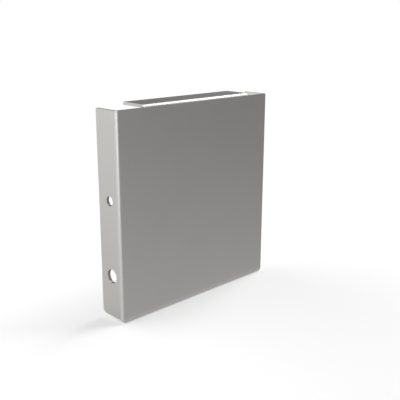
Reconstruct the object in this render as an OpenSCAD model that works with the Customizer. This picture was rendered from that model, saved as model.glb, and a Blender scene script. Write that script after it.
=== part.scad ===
// Wireway end cap.
// One sheet of steel, notched and folded: a square panel with a flange along each of its four edges.
// The two side flanges and the bottom flange run nearly the full length of their edges. The top
// flange is shorter, with an open notch at each end. The back is open, to slip over a wireway.
// The panel's front looks along -Y, the base of the bottom flange lies on Z = 0, and the origin is
// under the middle of the cap.

/* [Sheet] */
// Thickness of the steel sheet
sheet_t = 1.52; // [0.9:0.01:2]
// Inside radius of every fold
fold_r = 0.1; // [0.05:0.05:0.8]

/* [Wireway] */
// Outside width of the wireway that the cap closes
wireway_w = 101.6; // [90:0.1:160]
// Outside height of that wireway, with its cover on
wireway_h = 103.4; // [95:0.1:160]
// Clearance between the wireway and each flange
fit_gap = 0.2; // [0.1:0.05:0.8]

/* [Flanges] */
// Depth of the flanges, from the front of the panel to their free edges
flange_depth = 15.24; // [12:0.01:30]
// Length of the top flange, centred between its two notches
top_flange_len = 72.6; // [40:0.1:90]
// Distance from the outside of the cap to each end of the bottom flange
bottom_flange_inset = 4; // [3:0.1:15]
// Gap between the fold of the bottom flange and the lower edge of each side flange
corner_gap = 0.78; // [0.2:0.01:3]
// Radius of the lower free corner of each side flange
flange_corner_r = 2.5; // [0.2:0.1:4]

/* [Screw holes] */
// Diameter of the upper hole in each side flange
upper_hole_d = 4.76; // [2.5:0.01:8]
// Diameter of the lower hole in each side flange
lower_hole_d = 7.1; // [3:0.01:9]
// Height of the lower hole's centre above the base
lower_hole_h = 23.8; // [10:0.1:35]
// Distance between the centres of the two holes
hole_spacing = 38.1; // [15:0.1:50]
// Distance from the front of the panel to the hole centres
hole_setback = 6.96; // [6:0.01:9]

/* [Hidden] */
$fn = 96;

// Outside radius of every fold
outer_r = fold_r + sheet_t;
// Outside width and height of the cap
cap_w = wireway_w + 2 * (fit_gap + sheet_t);
cap_h = wireway_h + 2 * (fit_gap + sheet_t);
// The side flanges and the notches stop level with the underside of the top flange
side_top = cap_h - sheet_t;
// The side flanges start just above the fold of the bottom flange
side_bottom = outer_r + corner_gap;
// How far the cuts run past the faces that they go through
overcut = 1;

// Plan of a block that is width wide and depth deep, with its front on Y = 0 and its front corners round
module block_plan(width, depth, radius) {
    translate([radius - width / 2, 0]) square([width - 2 * radius, depth]);
    translate([-width / 2, radius]) square([width, depth - radius]);
    for (side = [-1, 1]) translate([side * (width / 2 - radius), radius]) circle(radius);
}

// Side view of a block with its front on Y = 0 and its base on Z = 0, and the edge between them round
module block_side(depth, height, radius) {
    translate([radius, 0]) square([depth - radius, height]);
    translate([0, radius]) square([depth, height - radius]);
    translate([radius, radius]) circle(radius);
}

// Draws a side view in the YZ plane and extrudes it along X, evenly to both sides
module along_x(length) {
    rotate([90, 0, 90]) linear_extrude(length, center = true) children();
}

// Block whose upright front edges and lower front edge are round, and meet in a mitre
module round_front_block(width, depth, height, radius) {
    intersection() {
        linear_extrude(height) block_plan(width, depth, radius);
        along_x(width) block_side(depth, height, radius);
    }
}

// Panel with its side and bottom flanges still joined at the corners, open at the back and the top
module folded_tray() {
    difference() {
        round_front_block(cap_w, flange_depth, side_top, outer_r);
        translate([0, sheet_t, sheet_t])
            round_front_block(cap_w - 2 * sheet_t, flange_depth, side_top, fold_r);
    }
}

// Top flange with its fold and the stretch of panel below it
module top_flange() {
    leg = 2 * outer_r;
    translate([0, 0, cap_h]) mirror([0, 0, 1]) along_x(top_flange_len) difference() {
        block_side(flange_depth, leg, outer_r);
        translate([sheet_t, sheet_t]) block_side(flange_depth, leg, fold_r);
    }
}

// Notches that free the side flanges from the bottom flange, and the clipped corners of the panel
module corner_cuts() {
    for (side = [0, 1]) mirror([side, 0, 0]) translate([cap_w / 2, 0, 0]) {
        translate([-bottom_flange_inset, sheet_t, -overcut])
            cube([bottom_flange_inset + overcut, flange_depth, side_bottom + overcut]);
        translate([0, flange_depth + overcut, 0]) rotate([90, 0, 0])
            linear_extrude(flange_depth + 2 * overcut)
                polygon([
                    [overcut, side_bottom + overcut],
                    [-side_bottom - overcut, -overcut],
                    [overcut, -overcut],
                ]);
    }
}

// Rounds the lower free corner of both side flanges
module flange_corner_cut() {
    centre = [flange_depth - flange_corner_r, side_bottom + flange_corner_r];
    along_x(cap_w + 2 * overcut) difference() {
        translate(centre - [0, flange_corner_r]) square(flange_corner_r);
        translate(centre) circle(flange_corner_r);
    }
}

// Screw holes, each drilled through both side flanges
module screw_holes() {
    holes = [
        [lower_hole_h, lower_hole_d],
        [lower_hole_h + hole_spacing, upper_hole_d],
    ];
    for (hole = holes)
        translate([0, hole_setback, hole[0]]) rotate([0, 90, 0])
            cylinder(h = cap_w + 2 * overcut, d = hole[1], center = true);
}

module end_cap() {
    color([0.62, 0.61, 0.59]) translate([0, -flange_depth / 2, 0]) difference() {
        union() {
            folded_tray();
            top_flange();
        }
        corner_cuts();
        flange_corner_cut();
        screw_holes();
    }
}

end_cap();
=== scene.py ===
"""Looks of the wireway end cap: bare satin steel, standing on a pale studio floor."""
import math

import bpy
from mathutils import Matrix, Vector


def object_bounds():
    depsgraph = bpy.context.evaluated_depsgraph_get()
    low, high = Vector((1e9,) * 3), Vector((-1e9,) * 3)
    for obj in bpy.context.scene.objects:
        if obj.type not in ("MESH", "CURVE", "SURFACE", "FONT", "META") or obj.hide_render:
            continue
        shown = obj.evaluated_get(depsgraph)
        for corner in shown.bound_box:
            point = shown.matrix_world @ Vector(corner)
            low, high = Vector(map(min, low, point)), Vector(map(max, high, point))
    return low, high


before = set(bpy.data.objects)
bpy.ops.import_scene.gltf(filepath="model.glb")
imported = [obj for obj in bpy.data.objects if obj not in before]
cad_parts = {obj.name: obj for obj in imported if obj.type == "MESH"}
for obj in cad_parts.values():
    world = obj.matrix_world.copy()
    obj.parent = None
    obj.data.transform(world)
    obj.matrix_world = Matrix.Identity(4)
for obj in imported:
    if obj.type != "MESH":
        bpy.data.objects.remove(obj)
cad_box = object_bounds()

# Camera: its lens in pixels of the square image, its sensor in millimetres, its near limit and its place in
# metres, and its turns in degrees
IMAGE_SIDE = 400
FOCAL_PIXELS = 649.6
SENSOR_WIDTH = 36
CLIP_START = 0.01
CAMERA_PLACE = Vector((-0.22945, -0.2419, 0.14491))
CAMERA_YAW = 44.486
CAMERA_PITCH = 15.517
CAMERA_ROLL = 0.158

# Steel: the two tones of its mottle and the tint of its reflections at grazing angles, as linear RGB
STEEL_DARK = (0.445, 0.437, 0.421, 1)
STEEL_LIGHT = (0.475, 0.467, 0.451, 1)
STEEL_EDGE_TINT = (0.18, 0.18, 0.18, 1)
# How fine the mottle and the grain are, in cells per metre, with their levels of detail, and the grain's
# scale along each axis, which draws it out along Z
MOTTLE_SCALE = 45
MOTTLE_DETAIL = 3
GRAIN_SCALE = 2600
GRAIN_DETAIL = 2
GRAIN_STRETCH = (1, 1, 0.03)
# Roughness across the grain, and the strength and height of its relief, in metres
SMOOTHEST = 0.43
ROUGHEST = 0.49
RELIEF_STRENGTH = 0.1
RELIEF_HEIGHT = 0.00001

# Floor: its colour, the share of even white that it shows near the cap, and the distances from the cap, in
# metres, between which that share rises to 1
WHITE = (1, 1, 1, 1)
FLOOR_COLOUR = (0.91, 0.91, 0.91, 1)
FLOOR_NEAR_WHITE = 0.24
FLOOR_LIT_REACH = 0.18
FLOOR_WHITE_REACH = 0.33
# Distance at which the floor starts to sweep up into the backdrop and the radius of that sweep, in metres,
# and the steps up the sweep and the sides all round that the mesh has
FLOOR_FLAT_REACH = 2.0
BACKDROP_RISE = 1.15
SWEEP_STEPS = 12
FLOOR_SIDES = 96

# Strength of the world's even fill light
WORLD_FILL = 0.19

# Softboxes: direction from the cap as azimuth from +X towards +Y and elevation, in degrees, then distance,
# width and height in metres, and radiance
SOFTBOXES = {
    "right_softbox": dict(azimuth=-11, elevation=43, distance=1.0, size=(0.84, 0.5), radiance=7.2),
    "low_softbox": dict(azimuth=-38, elevation=22, distance=1.0, size=(0.5, 0.25), radiance=1.6),
    "left_softbox": dict(azimuth=136, elevation=16, distance=0.35, size=(0.9, 0.3), radiance=2.6),
    "front_softbox": dict(azimuth=225, elevation=10, distance=0.7, size=(0.5, 0.34), radiance=3.35),
}

# Cards, two tall ones and a low sill, that show only in the steel's reflections: the side of the cap that a
# card is on, as an azimuth in degrees, its reach to either hand, and the distance from the cap's middle and
# the height of its foot and of its top edge, in metres. Its tone fades from foot to top. The slant is the
# share of the distance sideways that is added to the height, so that the fade also runs across the card.
CARDS = {
    "front_card": dict(azimuth=270, reach=(-0.052, 0.3), foot=(0.012, 0.001), top=(0.11, 0.15),
                       tones=(0.672, 0.168), slant=0.1),
    "sill_card": dict(azimuth=270, reach=(-0.052, 0.06), foot=(0.006, 0.0001), top=(0.012, 0.001),
                      tones=(1.2, 0.54), slant=0),
    "left_card": dict(azimuth=180, reach=(-0.3, 0.01), foot=(0.06, 0.001), top=(0.15, 0.15),
                      tones=(0.94, 1.3), slant=0),
}


def add_object(name, data):
    """A new object in the scene, with that mesh, lamp or camera."""
    thing = bpy.data.objects.new(name, data)
    bpy.context.scene.collection.objects.link(thing)
    return thing


def new_material(name):
    """A new node material, and its node tree."""
    material = bpy.data.materials.new(name)
    material.use_nodes = True
    return material, material.node_tree


def add_node(tree, kind, **values):
    """A new node of that kind, with its input sockets set by name."""
    node = tree.nodes.new(kind)
    for name, value in values.items():
        node.inputs[name.replace("_", " ")].default_value = value
    return node


def combine(tree, operation, first, second):
    """Output of a maths node that combines the outputs of two other nodes."""
    node = tree.nodes.new("ShaderNodeMath")
    node.operation = operation
    tree.links.new(first, node.inputs[0])
    tree.links.new(second, node.inputs[1])
    return node.outputs[0]


def steel_material():
    """Satin rolled steel: a faint mottle in its colour, and a fine upright grain in its gloss and relief."""
    material, tree = new_material("bare_steel")
    shader = tree.nodes["Principled BSDF"]
    shader.inputs["Metallic"].default_value = 1
    shader.inputs["Specular Tint"].default_value = STEEL_EDGE_TINT
    place = tree.nodes.new("ShaderNodeTexCoord")

    mottle = add_node(tree, "ShaderNodeTexNoise", Scale=MOTTLE_SCALE, Detail=MOTTLE_DETAIL)
    tone = tree.nodes.new("ShaderNodeValToRGB")
    tone.color_ramp.elements[0].color = STEEL_DARK
    tone.color_ramp.elements[1].color = STEEL_LIGHT
    tree.links.new(place.outputs["Object"], mottle.inputs["Vector"])
    tree.links.new(mottle.outputs["Fac"], tone.inputs["Fac"])
    tree.links.new(tone.outputs["Color"], shader.inputs["Base Color"])

    stretch = add_node(tree, "ShaderNodeMapping", Scale=GRAIN_STRETCH)
    grain = add_node(tree, "ShaderNodeTexNoise", Scale=GRAIN_SCALE, Detail=GRAIN_DETAIL)
    gloss = add_node(tree, "ShaderNodeMapRange", To_Min=SMOOTHEST, To_Max=ROUGHEST)
    relief = add_node(tree, "ShaderNodeBump", Strength=RELIEF_STRENGTH, Distance=RELIEF_HEIGHT)
    tree.links.new(place.outputs["Object"], stretch.inputs["Vector"])
    tree.links.new(stretch.outputs["Vector"], grain.inputs["Vector"])
    tree.links.new(grain.outputs["Fac"], gloss.inputs["Value"])
    tree.links.new(gloss.outputs["Result"], shader.inputs["Roughness"])
    tree.links.new(grain.outputs["Fac"], relief.inputs["Height"])
    tree.links.new(relief.outputs["Normal"], shader.inputs["Normal"])
    return material


def floor_material():
    """Matt pale floor round the cap, which turns into an even white backdrop further out."""
    material, tree = new_material("pale_floor")
    tree.nodes.clear()
    place = tree.nodes.new("ShaderNodeTexCoord")
    reach = tree.nodes.new("ShaderNodeVectorMath")
    reach.operation = "LENGTH"
    far = add_node(tree, "ShaderNodeMapRange", From_Min=FLOOR_LIT_REACH, From_Max=FLOOR_WHITE_REACH,
                   To_Min=FLOOR_NEAR_WHITE)
    far.interpolation_type = "SMOOTHSTEP"
    tree.links.new(place.outputs["Object"], reach.inputs[0])
    tree.links.new(reach.outputs["Value"], far.inputs["Value"])

    rays = tree.nodes.new("ShaderNodeLightPath")
    seen = rays.outputs["Is Camera Ray"]
    for kind in ("Is Glossy Ray", "Is Transmission Ray"):
        seen = combine(tree, "MAXIMUM", seen, rays.outputs[kind])
    white_share = combine(tree, "MULTIPLY", seen, far.outputs["Result"])

    lit = add_node(tree, "ShaderNodeBsdfDiffuse", Color=FLOOR_COLOUR)
    white = add_node(tree, "ShaderNodeEmission", Color=WHITE, Strength=1)
    surface = tree.nodes.new("ShaderNodeMixShader")
    output = tree.nodes.new("ShaderNodeOutputMaterial")
    tree.links.new(white_share, surface.inputs["Fac"])
    tree.links.new(lit.outputs["BSDF"], surface.inputs[1])
    tree.links.new(white.outputs["Emission"], surface.inputs[2])
    tree.links.new(surface.outputs["Shader"], output.inputs["Surface"])
    return material


def make_floor():
    """A round floor at the height of the cap's base, which sweeps up into a low backdrop all round."""
    points = [(0, 0, 0)]
    for step in range(SWEEP_STEPS + 1):
        bend = math.pi / 2 * step / SWEEP_STEPS
        radius = FLOOR_FLAT_REACH + BACKDROP_RISE * math.sin(bend)
        height = BACKDROP_RISE * (1 - math.cos(bend))
        for side in range(FLOOR_SIDES):
            turn = 2 * math.pi * side / FLOOR_SIDES
            points.append((radius * math.cos(turn), radius * math.sin(turn), height))

    faces = []
    for side in range(FLOOR_SIDES):
        after = (side + 1) % FLOOR_SIDES
        faces.append((0, 1 + side, 1 + after))
        for step in range(SWEEP_STEPS):
            inner = 1 + step * FLOOR_SIDES
            outer = inner + FLOOR_SIDES
            faces.append((inner + side, outer + side, outer + after, inner + after))

    mesh = bpy.data.meshes.new("floor")
    mesh.from_pydata(points, [], faces)
    mesh.shade_smooth()
    mesh.materials.append(floor_material())
    floor = add_object("floor", mesh)


def make_world():
    """An even grey studio, which fills the shadows and gives the steel something calm to reflect."""
    world = bpy.data.worlds.new("studio")
    world.use_nodes = True
    background = world.node_tree.nodes["Background"]
    background.inputs["Color"].default_value = WHITE
    background.inputs["Strength"].default_value = WORLD_FILL
    bpy.context.scene.world = world


def make_softbox(name, azimuth, elevation, distance, size, radiance):
    """A rectangular lamp that faces the cap's middle. Its power is pi times its radiance and its area."""
    target = (cad_box[0] + cad_box[1]) / 2
    turn, lift = math.radians(azimuth), math.radians(elevation)
    outward = Vector((math.cos(turn) * math.cos(lift), math.sin(turn) * math.cos(lift), math.sin(lift)))
    lamp = bpy.data.lights.new(name, "AREA")
    lamp.shape = "RECTANGLE"
    lamp.size, lamp.size_y = size
    lamp.energy = math.pi * radiance * size[0] * size[1]
    softbox = add_object(name, lamp)
    softbox.location = target + outward * distance
    softbox.rotation_euler = (-outward).to_track_quat("-Z", "Y").to_euler()
    softbox.visible_camera = False


def card_material(name, low, high, tones, fade_along):
    """A plain glow that fades from one tone to the other, from low to high along one direction."""
    material, tree = new_material(name)
    tree.nodes.clear()
    place = tree.nodes.new("ShaderNodeTexCoord")
    rise = tree.nodes.new("ShaderNodeVectorMath")
    rise.operation = "DOT_PRODUCT"
    rise.inputs[1].default_value = fade_along
    fade = add_node(tree, "ShaderNodeMapRange", From_Min=low, From_Max=high,
                    To_Min=tones[0], To_Max=tones[1])
    glow = add_node(tree, "ShaderNodeEmission", Color=WHITE)
    output = tree.nodes.new("ShaderNodeOutputMaterial")
    tree.links.new(place.outputs["Object"], rise.inputs[0])
    tree.links.new(rise.outputs["Value"], fade.inputs["Value"])
    tree.links.new(fade.outputs["Result"], glow.inputs["Strength"])
    tree.links.new(glow.outputs["Emission"], output.inputs["Surface"])
    return material


def make_card(name, azimuth, reach, foot, top, tones, slant):
    """A card that leans away from one side of the cap, and shows only in the steel's reflections."""
    turn = math.radians(azimuth)
    outward = Vector((math.cos(turn), math.sin(turn), 0))
    sideways = Vector((-outward.y, outward.x, 0))
    upward = Vector((0, 0, 1))
    corners = [(reach[0], foot), (reach[1], foot), (reach[1], top), (reach[0], top)]
    points = [sideways * side + outward * edge[0] + upward * edge[1] for side, edge in corners]
    mesh = bpy.data.meshes.new(name)
    mesh.from_pydata(points, [], [(0, 1, 2, 3)])
    mesh.materials.append(card_material(name, foot[1], top[1], tones, sideways * slant + upward))
    card = add_object(name, mesh)
    card.visible_camera = False
    card.visible_diffuse = False
    card.visible_shadow = False


def make_camera():
    """A camera turned from +Y by its yaw, then down by its pitch, then rolled about its own axis."""
    yaw, pitch, roll = (math.radians(angle) for angle in (CAMERA_YAW, CAMERA_PITCH, CAMERA_ROLL))
    level = Vector((math.sin(yaw), math.cos(yaw), 0))
    forward = level * math.cos(pitch) - Vector((0, 0, math.sin(pitch)))
    level_right = Vector((math.cos(yaw), -math.sin(yaw), 0))
    right = level_right * math.cos(roll) + level_right.cross(forward) * math.sin(roll)
    axes = Matrix((right, right.cross(forward), -forward)).transposed()
    data = bpy.data.cameras.new("camera")
    data.sensor_width = SENSOR_WIDTH
    data.lens = FOCAL_PIXELS / IMAGE_SIDE * SENSOR_WIDTH
    data.clip_start = CLIP_START
    camera = add_object("camera", data)
    camera.matrix_world = Matrix.Translation(CAMERA_PLACE) @ axes.to_4x4()
    bpy.context.scene.camera = camera


def dress_cap():
    """Gives the cap's steel its finish."""
    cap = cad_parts["end_cap"]
    cap.data.materials.clear()
    cap.data.materials.append(steel_material())


bpy.context.scene.view_settings.view_transform = "Standard"
make_camera()
make_world()
make_floor()
for name, values in SOFTBOXES.items():
    make_softbox(name, **values)
for name, values in CARDS.items():
    make_card(name, **values)
dress_cap()
